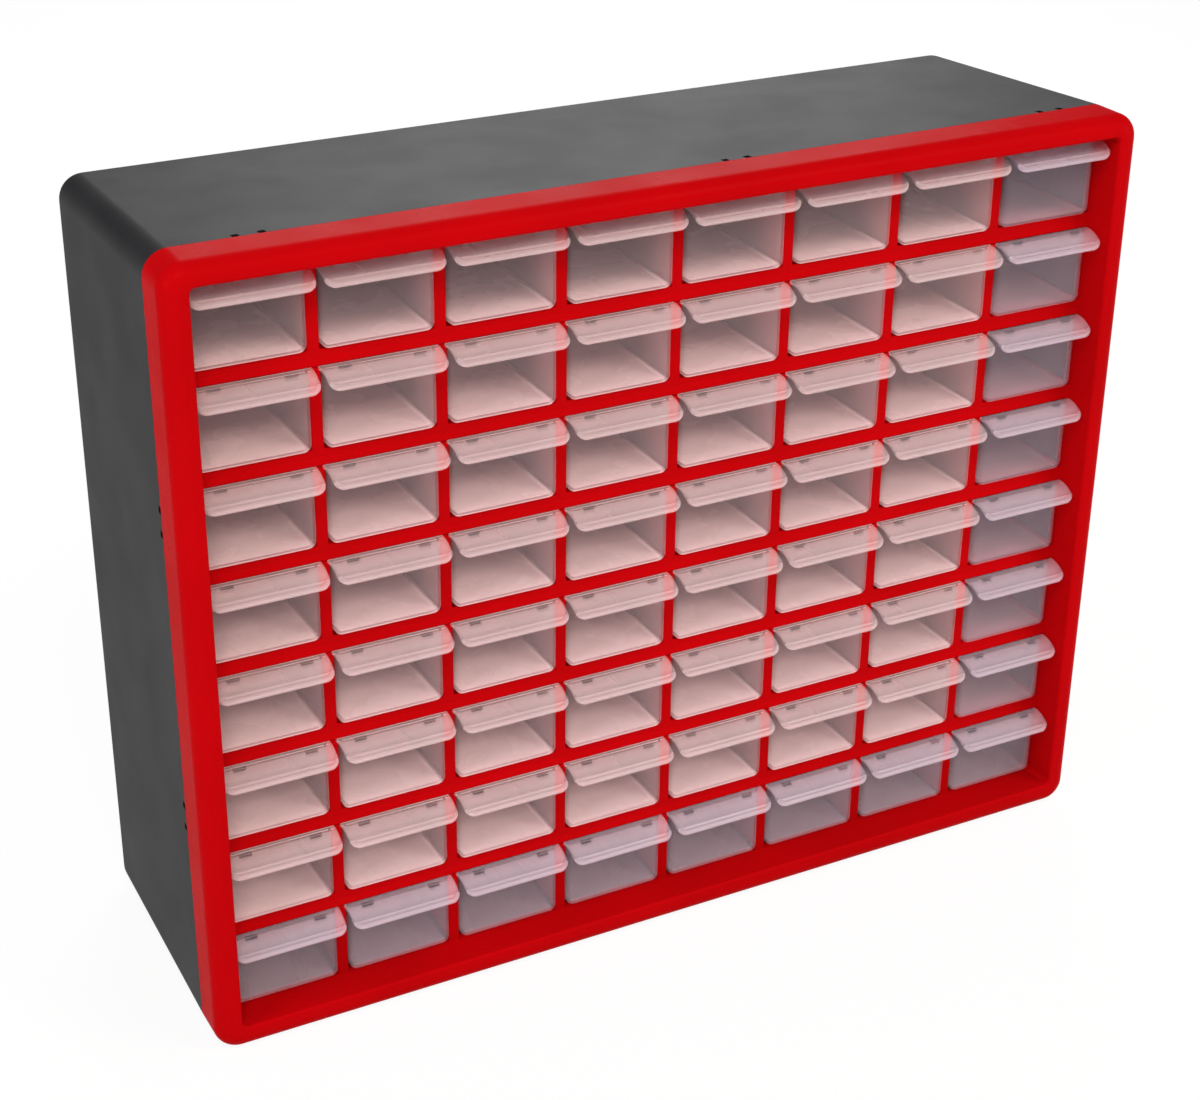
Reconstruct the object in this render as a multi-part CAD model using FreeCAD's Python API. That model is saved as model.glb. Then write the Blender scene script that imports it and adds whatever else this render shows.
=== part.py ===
import FreeCAD, Part
import math
import os

# Parts bin cabinet: a black case, a red moulded front with a grid of cells, and a clear drawer in each cell.
# X runs to the right of someone who faces the drawers, Y runs from the front to the back, Z is up.
# Depths are measured back from the front plane. The finished origin is under the middle of the base.

# Whole cabinet, in millimetres
WIDTH = 508.0
HEIGHT = 402.0
DEPTH = 168.0
COLUMNS = 8
ROWS = 8

# Case: a box that is open at the front and leans inward towards its back
CASE_WALL = 2.5
CASE_CORNER = 12.0
CASE_REAR_ROUND = 8.0
SIDE_LEAN = 4.0
TOP_LEAN = 7.5
RUNNER_THICKNESS = 2.0
RUNNER_SPREAD = 32.0
RUNNER_GAP = 1.0

# Keyholes in the back of the case, for two wall screws
KEYHOLE_SPACING = 406.4
KEYHOLE_BELOW_TOP = 57.0
KEYHOLE_ENTRY_RADIUS = 4.5
KEYHOLE_SLOT_WIDTH = 5.0
KEYHOLE_SLOT_RISE = 9.0

# Front frame: a hollow border with a rim that leads back to the grid
FRAME_DEPTH = 25.0
BORDER_SIDE = 12.5
BORDER_TOP = 10.5
BORDER_BOTTOM = 13.0
FRAME_ROUND = 8.8
FRAME_ROUND_SHARE = 0.84
INNER_ROUND = 1.5
INNER_ROUND_SHARE = 0.14
OPENING_CORNER = 3.0
FACE_WALL = 2.5
SKIRT_WALL = 2.5
RIM_WALL = 2.0
SILL_HEIGHT = 1.2

# Tongue of the frame, inside the case, and the snap latches that hold it there
TONGUE_DEPTH = 8.0
TONGUE_ROOT = 6.0
TONGUE_WALL = 2.0
TONGUE_CLEARANCE = 0.3
LATCH_TAB = 8.6
LATCH_SLOT_WIDTH = 3.4
LATCH_SLOT_DEPTH = 3.6
LATCH_GAP = 0.3
HOOK_RISE = 1.2
HOOK_DEPTH = 2.6
TOP_LATCH_SHARES = (-0.405, 0.068, 0.425)
SIDE_LATCH_SHARES = (0.306, 0.687)

# Grid of cells: a lattice at the front, and thin shelves and dividers behind it
RIM_DEPTH = 19.0
LATTICE_THICKNESS = 3.0
LINTEL_HEIGHT = 7.06
FLANGE_WIDTH = 5.8
SHELF_THICKNESS = 2.0
DIVIDER_THICKNESS = 2.0
SHELF_REAR_GAP = 6.0
FLANGE_SETBACK = 0.15
LINTEL_LIP = 0.1
DIVIDER_SETBACK = 0.5
DIVIDER_HEADROOM = 1.0

# Drawer: a thin tray with a curved pull along the top of its front
DRAWER_FRONT_DEPTH = 16.5
DRAWER_REAR_GAP = 25.5
DRAWER_SIDE_GAP = 0.4
DRAWER_UNDER_GAP = 0.3
DRAWER_OVER_GAP = 0.5
DRAWER_WALL = 1.3
DRAWER_FRONT_WALL = 1.6
DRAWER_CORNER = 4.0
STOP_TAB_WIDTH = 20.0
STOP_TAB_RISE = 1.8

# Pull of the drawer
PULL_FORWARD = 12.6
PULL_DROP = 6.0
PULL_ROOT_OVERHANG = 2.0
PULL_TIP_OVERHANG = 0.65
PULL_THICKNESS = 1.5
PULL_CORNER = 4.0
PULL_BEAD_RADIUS = 1.6
PULL_STOP_GAP = 0.3
WINDOW_WIDTH = 7.5
WINDOW_LENGTH = 4.5
WINDOW_SETBACK = 0.5
WINDOW_PLACE_SHARE = 0.33

# Amount by which cutting and joining solids run past the faces they work on
OVERRUN = 1.0
# Largest distance at which a point counts as lying on a plane
ON_PLANE = 0.001

KEYHOLE_HEIGHT = HEIGHT - KEYHOLE_BELOW_TOP
OPENING_SIDE = WIDTH / 2 - BORDER_SIDE
OPENING_TOP = HEIGHT - BORDER_TOP
OPENING_BOTTOM = BORDER_BOTTOM
COLUMN_PITCH = (2 * OPENING_SIDE + DIVIDER_THICKNESS) / COLUMNS
ROW_PITCH = (OPENING_TOP - OPENING_BOTTOM + SHELF_THICKNESS) / ROWS
LATTICE_BACK = RIM_DEPTH + LATTICE_THICKNESS
SHELF_BACK = DEPTH - CASE_WALL - SHELF_REAR_GAP
LATTICE_SIDE = COLUMNS * COLUMN_PITCH / 2 - FLANGE_WIDTH / 2
DRAWER_WIDTH = COLUMN_PITCH - FLANGE_WIDTH - 2 * DRAWER_SIDE_GAP
DRAWER_HEIGHT = ROW_PITCH - LINTEL_HEIGHT - DRAWER_UNDER_GAP - DRAWER_OVER_GAP
DRAWER_BACK = DEPTH - CASE_WALL - DRAWER_REAR_GAP


def column_centre(column):
    """Place across the cabinet of the middle of a column, counted from 1 at the left."""
    return (column - (COLUMNS + 1) / 2) * COLUMN_PITCH


def row_floor(row):
    """Height of the surface that carries a row's drawers, counted from 1 at the top."""
    return OPENING_BOTTOM + SILL_HEIGHT + (ROWS - row) * ROW_PITCH


def row_ceiling(row):
    """Height of the underside of the lintel over a row."""
    return row_floor(row) + ROW_PITCH - LINTEL_HEIGHT


def block(left, right, front, back, bottom, top):
    """Box between six limits."""
    corner = FreeCAD.Vector(left, front, bottom)
    return Part.makeBox(right - left, back - front, top - bottom, corner)


def rounded_outline(left, right, bottom, top, radius, depth):
    """Closed rectangle with round corners, standing at one depth."""
    cut = radius * (1 - math.sqrt(0.5))

    def at(x, z):
        return FreeCAD.Vector(x, depth, z)

    pieces = [
        Part.LineSegment(at(left + radius, bottom), at(right - radius, bottom)),
        Part.Arc(at(right - radius, bottom), at(right - cut, bottom + cut), at(right, bottom + radius)),
        Part.LineSegment(at(right, bottom + radius), at(right, top - radius)),
        Part.Arc(at(right, top - radius), at(right - cut, top - cut), at(right - radius, top)),
        Part.LineSegment(at(right - radius, top), at(left + radius, top)),
        Part.Arc(at(left + radius, top), at(left + cut, top - cut), at(left, top - radius)),
        Part.LineSegment(at(left, top - radius), at(left, bottom + radius)),
        Part.Arc(at(left, bottom + radius), at(left + cut, bottom + cut), at(left + radius, bottom)),
    ]
    return Part.Wire([piece.toShape() for piece in pieces])


def prism(outline, length):
    """Solid made by drawing an outline straight back."""
    return Part.Face(outline).extrude(FreeCAD.Vector(0, length, 0))


def edges_at_depth(shape, depth, half_width):
    """Edges that lie wholly at one depth and reach out as far as half_width."""
    found = []
    for edge in shape.Edges:
        box = edge.BoundBox
        if abs(box.YMin - depth) < ON_PLANE and abs(box.YMax - depth) < ON_PLANE:
            found.append(edge)
    inner = [edge for edge in found if max(abs(edge.BoundBox.XMin), abs(edge.BoundBox.XMax)) < half_width]
    outer = [edge for edge in found if edge not in inner]
    return inner, outer


def case_corners(depth, inset):
    """Corners of the case at a depth, moved inward by inset and not yet rounded."""
    lean = (depth - FRAME_DEPTH) / (DEPTH - FRAME_DEPTH)
    side = WIDTH / 2 - SIDE_LEAN * lean - inset
    top = HEIGHT - TOP_LEAN * lean - inset
    places = ((-side, inset), (side, inset), (side, top), (-side, top))
    return [FreeCAD.Vector(x, depth, z) for x, z in places]


def flat_face(corners):
    """Flat face between corners given in order."""
    return Part.Face(Part.makePolygon(corners + corners[:1]))


def case_block(front, back, inset):
    """Solid that fills the case between two depths: flat sides with round long edges."""
    near = case_corners(front, inset)
    far = case_corners(back, inset)
    faces = [flat_face(near), flat_face(far)]
    for index in range(len(near)):
        faces.append(flat_face([near[index - 1], near[index], far[index], far[index - 1]]))
    solid = Part.makeSolid(Part.makeShell(faces))
    long_edges = [edge for edge in solid.Edges if edge.BoundBox.YLength > (back - front) / 2]
    return solid.makeFillet(CASE_CORNER - inset, long_edges)


def round_rear(solid, back, radius):
    """Round the edges round the rear face of a case block."""
    inner, outer = edges_at_depth(solid, back, 0)
    return solid.makeFillet(radius, inner + outer)


def edge_block(side, along, half_length, inset_from, inset_to, depth_from, depth_to):
    """Box on one of the four sides, between two distances in from that side."""
    if side == "top":
        return block(along - half_length, along + half_length, depth_from, depth_to,
                     HEIGHT - inset_to, HEIGHT - inset_from)
    if side == "bottom":
        return block(along - half_length, along + half_length, depth_from, depth_to, inset_from, inset_to)
    if side == "left":
        return block(inset_from - WIDTH / 2, inset_to - WIDTH / 2, depth_from, depth_to,
                     along - half_length, along + half_length)
    return block(WIDTH / 2 - inset_to, WIDTH / 2 - inset_from, depth_from, depth_to,
                 along - half_length, along + half_length)


def latch_places():
    """Side and place along it of each snap latch."""
    places = []
    for share in TOP_LATCH_SHARES:
        places.append(("top", share * WIDTH))
        places.append(("bottom", share * WIDTH))
    for share in SIDE_LATCH_SHARES:
        places.append(("left", share * HEIGHT))
        places.append(("right", share * HEIGHT))
    return places


def latch_slots(side, along):
    """The two cuts that free a latch's tab from the case's wall."""
    slots = []
    for direction in (-1, 1):
        middle = along + direction * (LATCH_TAB + LATCH_SLOT_WIDTH) / 2
        slots.append(edge_block(side, middle, LATCH_SLOT_WIDTH / 2, -OVERRUN, CASE_WALL + OVERRUN,
                                FRAME_DEPTH - OVERRUN, FRAME_DEPTH + LATCH_SLOT_DEPTH))
    return slots


def latch_hook(side, along):
    """The hook on the inner side of a latch's tab."""
    back = FRAME_DEPTH + LATCH_SLOT_DEPTH
    return edge_block(side, along, LATCH_TAB / 2 - LATCH_GAP, CASE_WALL / 2, CASE_WALL + HOOK_RISE,
                      back - HOOK_DEPTH, back)


def latch_window(side, along):
    """The opening in the frame's tongue that a hook drops into."""
    half_length = LATCH_TAB / 2 + LATCH_SLOT_WIDTH + LATCH_GAP
    back = FRAME_DEPTH + LATCH_SLOT_DEPTH + LATCH_GAP
    return edge_block(side, along, half_length, SKIRT_WALL - OVERRUN,
                      CASE_WALL + TONGUE_CLEARANCE + TONGUE_WALL + OVERRUN, FRAME_DEPTH + LATCH_GAP, back)


def runners():
    """Ribs on the case's floor that carry the bottom row of drawers, two to a column."""
    front = FRAME_DEPTH + TONGUE_DEPTH + RUNNER_GAP
    ribs = []
    for column in range(1, COLUMNS + 1):
        for direction in (-1, 1):
            middle = column_centre(column) + direction * RUNNER_SPREAD / 2
            ribs.append(block(middle - RUNNER_THICKNESS / 2, middle + RUNNER_THICKNESS / 2, front,
                              SHELF_BACK, CASE_WALL / 2, row_floor(ROWS)))
    return ribs


def keyhole(middle):
    """Keyhole through the back wall: a round entry with a narrow slot above it."""
    start = DEPTH - CASE_WALL - OVERRUN
    length = CASE_WALL + 2 * OVERRUN
    slot_radius = KEYHOLE_SLOT_WIDTH / 2
    slot_top = KEYHOLE_HEIGHT + KEYHOLE_SLOT_RISE
    back = FreeCAD.Vector(0, 1, 0)
    entry_middle = FreeCAD.Vector(middle, start, KEYHOLE_HEIGHT)
    slot_end = FreeCAD.Vector(middle, start, slot_top)
    entry = Part.makeCylinder(KEYHOLE_ENTRY_RADIUS, length, entry_middle, back)
    end = Part.makeCylinder(slot_radius, length, slot_end, back)
    slot = block(middle - slot_radius, middle + slot_radius, start, start + length, KEYHOLE_HEIGHT, slot_top)
    return entry.fuse([end, slot])


def case():
    """Black outer case with its floor runners, latch tabs and keyholes."""
    outer = round_rear(case_block(FRAME_DEPTH, DEPTH, 0), DEPTH, CASE_REAR_ROUND)
    inner_back = DEPTH - CASE_WALL
    inner = case_block(FRAME_DEPTH - OVERRUN, inner_back, CASE_WALL)
    inner = round_rear(inner, inner_back, CASE_REAR_ROUND - CASE_WALL)
    shell = outer.cut(inner)
    cuts = [keyhole(-KEYHOLE_SPACING / 2), keyhole(KEYHOLE_SPACING / 2)]
    hooks = []
    for side, along in latch_places():
        cuts.extend(latch_slots(side, along))
        hooks.append(latch_hook(side, along))
    return shell.cut(cuts).fuse(runners() + hooks).removeSplitter()


def opening_outline(outset, depth):
    """Outline of the frame's opening, moved outward by outset."""
    return rounded_outline(-OPENING_SIDE - outset, OPENING_SIDE + outset, OPENING_BOTTOM - outset,
                           OPENING_TOP + outset, OPENING_CORNER + outset, depth)


def frame_body():
    """Solid border of the frame, with its front edges rounded."""
    outline = rounded_outline(-WIDTH / 2, WIDTH / 2, 0, HEIGHT, CASE_CORNER, 0)
    border = prism(outline, FRAME_DEPTH).cut(prism(opening_outline(0, -OVERRUN), FRAME_DEPTH + 2 * OVERRUN))
    narrowest = min(BORDER_SIDE, BORDER_TOP, BORDER_BOTTOM)
    inner, outer = edges_at_depth(border, 0, OPENING_SIDE + ON_PLANE)
    border = border.makeFillet(min(FRAME_ROUND, narrowest * FRAME_ROUND_SHARE), outer)
    inner, outer = edges_at_depth(border, 0, OPENING_SIDE + ON_PLANE)
    return border.makeFillet(min(INNER_ROUND, narrowest * INNER_ROUND_SHARE), inner)


def frame_hollow():
    """The space inside the border, which is open at the back."""
    narrowest = min(BORDER_SIDE, BORDER_TOP, BORDER_BOTTOM)
    outline = rounded_outline(SKIRT_WALL - WIDTH / 2, WIDTH / 2 - SKIRT_WALL, SKIRT_WALL,
                              HEIGHT - SKIRT_WALL, CASE_CORNER - SKIRT_WALL, FACE_WALL)
    space = prism(outline, FRAME_DEPTH + OVERRUN - FACE_WALL)
    inner, outer = edges_at_depth(space, FACE_WALL, 0)
    space = space.makeFillet(min(FRAME_ROUND, narrowest * FRAME_ROUND_SHARE) - SKIRT_WALL, inner + outer)
    return space.cut(prism(opening_outline(RIM_WALL, 0), LATTICE_BACK))


def frame_flange():
    """Plate at the grid's depth that closes the opening down to the outermost cells."""
    plate = prism(opening_outline(RIM_WALL / 2, RIM_DEPTH), LATTICE_THICKNESS)
    window = block(-LATTICE_SIDE, LATTICE_SIDE, RIM_DEPTH - OVERRUN, LATTICE_BACK + OVERRUN,
                   row_floor(ROWS) - LINTEL_LIP, row_ceiling(1))
    return plate.cut(window)


def frame_tongue():
    """Ring that runs from inside the border's skirt into the mouth of the case."""
    outer_inset = CASE_WALL + TONGUE_CLEARANCE
    inner_inset = outer_inset + TONGUE_WALL
    back = FRAME_DEPTH + TONGUE_DEPTH
    root_front = FRAME_DEPTH - TONGUE_ROOT
    root = case_block(root_front, FRAME_DEPTH, SKIRT_WALL / 2)
    ring = root.fuse(case_block(FRAME_DEPTH - OVERRUN, back, outer_inset))
    ring = ring.cut(case_block(root_front - OVERRUN, back + OVERRUN, inner_inset))
    return ring.cut([latch_window(side, along) for side, along in latch_places()])


def front_frame():
    """Red front border with its rim, flange and tongue."""
    return frame_body().cut(frame_hollow()).fuse([frame_flange(), frame_tongue()]).removeSplitter()


def shelf(row):
    """Thin shelf under a row of drawers."""
    half = OPENING_SIDE + RIM_WALL - DIVIDER_SETBACK
    return block(-half, half, LATTICE_BACK, SHELF_BACK, row_floor(row) - SHELF_THICKNESS, row_floor(row))


def lintel(row):
    """Bar across the front, below the shelf of a row and above the drawers of the next row."""
    return block(-LATTICE_SIDE, LATTICE_SIDE, RIM_DEPTH, LATTICE_BACK, row_floor(row) - LINTEL_HEIGHT,
                 row_floor(row) - LINTEL_LIP)


def divider(row, middle):
    """Thin wall between two cells of a row."""
    bottom = OPENING_BOTTOM if row == ROWS else row_floor(row)
    top = row_floor(row) + ROW_PITCH - SHELF_THICKNESS
    if row == 1:
        top = HEIGHT - TOP_LEAN - CASE_WALL - DIVIDER_HEADROOM
    return block(middle - DIVIDER_THICKNESS / 2, middle + DIVIDER_THICKNESS / 2, LATTICE_BACK,
                 SHELF_BACK - DIVIDER_SETBACK, bottom, top)


def flange(row, middle):
    """Upright bar of the lattice in front of a divider."""
    return block(middle - FLANGE_WIDTH / 2, middle + FLANGE_WIDTH / 2, RIM_DEPTH + FLANGE_SETBACK,
                 LATTICE_BACK, row_floor(row) - LINTEL_LIP, row_ceiling(row))


def drawer_grid():
    """Every shelf, lintel, divider and upright bar, as solids that meet face to face."""
    solids = []
    for row in range(1, ROWS):
        solids.append(shelf(row))
        solids.append(lintel(row))
    for row in range(1, ROWS + 1):
        for column in range(1, COLUMNS):
            middle = column_centre(column) + COLUMN_PITCH / 2
            solids.append(divider(row, middle))
            solids.append(flange(row, middle))
    return Part.makeCompound(solids)


def tray_outline(inset, depth):
    """Front view of the tray: square at the top and rounded at the bottom, open to above."""
    side = DRAWER_WIDTH / 2 - inset
    radius = DRAWER_CORNER - inset
    cut = radius * (1 - math.sqrt(0.5))
    top = DRAWER_HEIGHT if inset == 0 else DRAWER_HEIGHT + OVERRUN

    def at(x, z):
        return FreeCAD.Vector(x, depth, z)

    pieces = [
        Part.LineSegment(at(radius - side, inset), at(side - radius, inset)),
        Part.Arc(at(side - radius, inset), at(side - cut, inset + cut), at(side, inset + radius)),
        Part.LineSegment(at(side, inset + radius), at(side, top)),
        Part.LineSegment(at(side, top), at(-side, top)),
        Part.LineSegment(at(-side, top), at(-side, inset + radius)),
        Part.Arc(at(-side, inset + radius), at(cut - side, inset + cut), at(radius - side, inset)),
    ]
    return Part.Wire([piece.toShape() for piece in pieces])


def tray():
    """Thin-walled box of the drawer, with the stop tab at its back."""
    inner_front = DRAWER_FRONT_DEPTH + DRAWER_FRONT_WALL
    inner_back = DRAWER_BACK - DRAWER_WALL
    outer = prism(tray_outline(0, DRAWER_FRONT_DEPTH), DRAWER_BACK - DRAWER_FRONT_DEPTH)
    inner = prism(tray_outline(DRAWER_WALL, inner_front), inner_back - inner_front)
    tab = block(-STOP_TAB_WIDTH / 2, STOP_TAB_WIDTH / 2, inner_back, DRAWER_BACK,
                DRAWER_HEIGHT - DRAWER_CORNER, DRAWER_HEIGHT + STOP_TAB_RISE)
    return outer.cut(inner).fuse(tab)


def pull_strip():
    """Curved lip, level at the drawer's front and falling towards its tip, over the full root width."""
    reach = PULL_FORWARD - PULL_BEAD_RADIUS
    turn = 2 * math.atan2(PULL_DROP, PULL_FORWARD)
    radius = reach / math.sin(turn)
    root = RIM_DEPTH - PULL_STOP_GAP
    half = DRAWER_WIDTH / 2 + PULL_ROOT_OVERHANG

    def on_arc(arc_radius, angle):
        return FreeCAD.Vector(-half, DRAWER_FRONT_DEPTH - arc_radius * math.sin(angle),
                              DRAWER_HEIGHT - radius + arc_radius * math.cos(angle))

    inner_radius = radius - PULL_THICKNESS
    top_back = FreeCAD.Vector(-half, root, DRAWER_HEIGHT)
    under_back = FreeCAD.Vector(-half, root, DRAWER_HEIGHT - PULL_THICKNESS)
    pieces = [
        Part.Arc(on_arc(radius, 0), on_arc(radius, turn / 2), on_arc(radius, turn)),
        Part.LineSegment(on_arc(radius, turn), on_arc(inner_radius, turn)),
        Part.Arc(on_arc(inner_radius, turn), on_arc(inner_radius, turn / 2), on_arc(inner_radius, 0)),
        Part.LineSegment(on_arc(inner_radius, 0), under_back),
        Part.LineSegment(under_back, top_back),
        Part.LineSegment(top_back, on_arc(radius, 0)),
    ]
    section = Part.Face(Part.Wire([piece.toShape() for piece in pieces]))
    return section.extrude(FreeCAD.Vector(2 * half, 0, 0)), on_arc((radius + inner_radius) / 2, turn)


def pull_plan(bottom, top):
    """Upright solid over the pull's plan: it narrows towards a tip with round corners."""
    root = DRAWER_WIDTH / 2 + PULL_ROOT_OVERHANG
    tip = DRAWER_WIDTH / 2 + PULL_TIP_OVERHANG
    back = RIM_DEPTH - PULL_STOP_GAP
    front = DRAWER_FRONT_DEPTH - PULL_FORWARD
    cut = PULL_CORNER * (1 - math.sqrt(0.5))

    def at(x, depth):
        return FreeCAD.Vector(x, depth, bottom)

    pieces = [
        Part.LineSegment(at(-root, back), at(root, back)),
        Part.LineSegment(at(root, back), at(tip, front + PULL_CORNER)),
        Part.Arc(at(tip, front + PULL_CORNER), at(tip - cut, front + cut), at(tip - PULL_CORNER, front)),
        Part.LineSegment(at(tip - PULL_CORNER, front), at(PULL_CORNER - tip, front)),
        Part.Arc(at(PULL_CORNER - tip, front), at(cut - tip, front + cut), at(-tip, front + PULL_CORNER)),
        Part.LineSegment(at(-tip, front + PULL_CORNER), at(-root, back)),
    ]
    plan = Part.Face(Part.Wire([piece.toShape() for piece in pieces]))
    return plan.extrude(FreeCAD.Vector(0, 0, top - bottom))


def pull_bead(centre):
    """Round bead along the tip of the pull, with domed ends."""
    half = DRAWER_WIDTH / 2 + PULL_TIP_OVERHANG - PULL_CORNER
    start = FreeCAD.Vector(-half, centre.y, centre.z)
    end = FreeCAD.Vector(half, centre.y, centre.z)
    rod = Part.makeCylinder(PULL_BEAD_RADIUS, 2 * half, start, FreeCAD.Vector(1, 0, 0))
    return rod.fuse([Part.makeSphere(PULL_BEAD_RADIUS, start), Part.makeSphere(PULL_BEAD_RADIUS, end)])


def pull_window(direction):
    """Small window through the pull, close to the front of the tray."""
    middle = direction * WINDOW_PLACE_SHARE * DRAWER_WIDTH
    back = DRAWER_FRONT_DEPTH - WINDOW_SETBACK
    return block(middle - WINDOW_WIDTH / 2, middle + WINDOW_WIDTH / 2, back - WINDOW_LENGTH, back,
                 DRAWER_HEIGHT - PULL_DROP, DRAWER_HEIGHT + OVERRUN)


def drawer():
    """One clear drawer, centred across, with its underside at height zero."""
    strip, tip = pull_strip()
    pull = strip.common(pull_plan(-OVERRUN, DRAWER_HEIGHT + OVERRUN))
    pull = pull.cut([pull_window(-1), pull_window(1)])
    return tray().fuse([pull, pull_bead(tip)]).removeSplitter()


def drawer_in_cell(shape, row, column):
    """Copy of the drawer, in its cell."""
    placed = shape.copy()
    placed.translate(FreeCAD.Vector(column_centre(column), 0, row_floor(row) + DRAWER_UNDER_GAP))
    return placed


def save(name, shape):
    """Write one sub-part, with the origin under the middle of the base."""
    placed = shape.copy()
    placed.translate(FreeCAD.Vector(0, -DEPTH / 2, 0))
    placed.exportStep("parts/" + name + ".step")
    print(name, len(placed.Solids), "solids", round(placed.Volume), "mm3", "valid", placed.isValid())


def main():
    os.makedirs("parts", exist_ok=True)
    save("case", case())
    save("front_frame", front_frame())
    save("drawer_grid", drawer_grid())
    one_drawer = drawer()
    for row in range(1, ROWS):
        for column in range(1, COLUMNS + 1):
            save("drawer_r%d_c%d" % (row, column), drawer_in_cell(one_drawer, row, column))
    bottom_row = [drawer_in_cell(one_drawer, ROWS, column) for column in range(1, COLUMNS + 1)]
    save("drawers_row_%d" % ROWS, Part.makeCompound(bottom_row))


main()
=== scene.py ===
# Looks of the parts bin cabinet: black case, red moulded front with its grid of cells, 64 clear drawers.
import math

import bpy
from mathutils import Matrix, Vector


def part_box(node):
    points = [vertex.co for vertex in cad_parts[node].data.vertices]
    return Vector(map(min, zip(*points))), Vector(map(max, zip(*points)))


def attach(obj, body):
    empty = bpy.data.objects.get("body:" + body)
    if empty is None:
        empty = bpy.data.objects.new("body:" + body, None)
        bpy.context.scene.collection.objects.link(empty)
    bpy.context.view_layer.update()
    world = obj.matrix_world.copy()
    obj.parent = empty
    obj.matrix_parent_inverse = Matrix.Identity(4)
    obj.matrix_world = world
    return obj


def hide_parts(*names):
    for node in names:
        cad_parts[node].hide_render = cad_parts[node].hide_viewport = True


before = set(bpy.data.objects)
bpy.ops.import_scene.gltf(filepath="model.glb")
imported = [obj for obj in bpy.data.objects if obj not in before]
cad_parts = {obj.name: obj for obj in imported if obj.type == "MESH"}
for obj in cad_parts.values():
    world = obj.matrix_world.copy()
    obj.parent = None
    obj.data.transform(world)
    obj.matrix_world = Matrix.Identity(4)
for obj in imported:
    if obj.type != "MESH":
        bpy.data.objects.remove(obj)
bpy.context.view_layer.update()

bl_info = {
    "name": "Parts Bin Cabinet",
    "version": (1, 0, 0),
    "blender": (4, 5, 0),
    "location": "View3D > Sidebar > Parts Cabinet",
    "description": "Models a small-parts cabinet with clear drawers round its fixed frame",
    "category": "Add Mesh",
}

MM = 0.001
COLUMNS = 8
ROWS = 8
CASE_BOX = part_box("case")
FRAME_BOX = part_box("front_frame")
GRID_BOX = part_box("drawer_grid")
FIRST_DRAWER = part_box("drawer_r1_c1")

FRONT = FRAME_BOX[0].y
BACK = CASE_BOX[1].y
JOINT = CASE_BOX[0].y
HALF_WIDTH = FRAME_BOX[1].x
HEIGHT = FRAME_BOX[1].z

# Places of the snap latches, as shares of the case's width from its middle and of its height.
TOP_LATCH_SHARES = (-0.405, 0.068, 0.425)
SIDE_LATCH_SHARES = (0.306, 0.687)

# Share of the border's wall that is left outside the tongue's root, so that the two run into each other.
SKIRT_SHARE = 0.9

# Facets of a rounding, from the large radii down to the softened edges.
LARGE_FACETS = 10
MIDDLE_FACETS = 8
DRAWER_FRONT_FACETS = 5
SMALL_FACETS = 4
BAR_FACETS = 3
FINE_FACETS = 2
HOLE_FACETS = 48
PULL_FACETS = 12
BEAD_RESOLUTION = 3

# Angles above which an edge is rounded, and above which it stays a crease in the shading.
SHARP_ANGLE = math.radians(50)
CREASE_ANGLE = math.radians(30)
DRAWER_CREASE_ANGLE = math.radians(35)

# Tolerances: for finding vertices by their place, and for merging those that coincide.
NEAR = 0.01 * MM
MERGE = 0.001 * MM

# Sockets that share a name are reached by number: the colours of a Mix node, the shaders of a Mix Shader
# and the numbers of a Math node.
MIX_FIRST, MIX_SECOND, MIX_RESULT = 6, 7, 2
SHADER_FIRST, SHADER_SECOND = 1, 2
NUMBER_FIRST, NUMBER_SECOND = 0, 1

# The middle of a noise's values, which is stretched to the whole of a range.
NOISE_MIDDLE = {"From Min": 0.35, "From Max": 0.65}

# Softboxes: name, place and side in metres, and the stage's settings for power and colour.
SOFTBOXES = (
    ("key", (-0.80, -1.60, 2.20), 0.80, "key_power", "key_colour"),
    ("fill", (1.20, -1.50, 1.90), 0.80, "fill_power", "key_colour"),
    ("left", (-1.90, -0.60, 0.90), 0.80, "left_power", "side_colour"),
    ("right", (1.60, -0.90, 0.50), 0.80, "right_power", "side_colour"),
    ("back", (0.90, 1.80, 1.50), 1.20, "back_power", "back_colour"),
)
SENSOR_WIDTH = 36

# Finishes of the plastics: size in metres and detail of each pattern, roughness, and height of the relief.
# The case's real grain, some 0.2 mm, is too fine to show, so it is drawn at 0.9 mm.
RED_PLASTIC = "red_polystyrene_semi_gloss"
CASE_FINISH = {"cloud": (60 * MM, 3.0), "gloss": (35 * MM, 3.0), "relief": (0.9 * MM, 2.0),
               "roughness": (0.53, 0.57), "height": 0.05 * MM}
FRONT_FINISH = {"cloud": (80 * MM, 2.0), "gloss": (30 * MM, 2.0), "relief": (7 * MM, 1.5),
                "roughness": (0.26, 0.34), "height": 0.04 * MM}
DRAWER_FINISH = {"haze": (18 * MM, 2.0), "roughness": (0.22, 0.30), "height": 0.03 * MM}

# Where a face starts and ends to count as level, by its normal's rise, and as slanted to the line of sight.
LEVEL_FACES = {"From Min": 0.5, "From Max": 0.9}
SLANTED_FACES = {"From Min": 0.15, "From Max": 0.60}


def length(name, description, millimetres):
    """Length that a user can change."""
    return bpy.props.FloatProperty(name=name, description=description, default=millimetres * MM,
                                   unit="LENGTH")


def share(name, description, default):
    """Share between none and all that a user can change."""
    return bpy.props.FloatProperty(name=name, description=description, default=default, subtype="FACTOR")


def power(name, description, default):
    """Power of a light that a user can change."""
    return bpy.props.FloatProperty(name=name, description=description, default=default, unit="POWER")


def tone(name, description, default):
    """Colour that a user can change, as an sRGB hex value."""
    return bpy.props.StringProperty(name=name, description=description, default=default)


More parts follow.
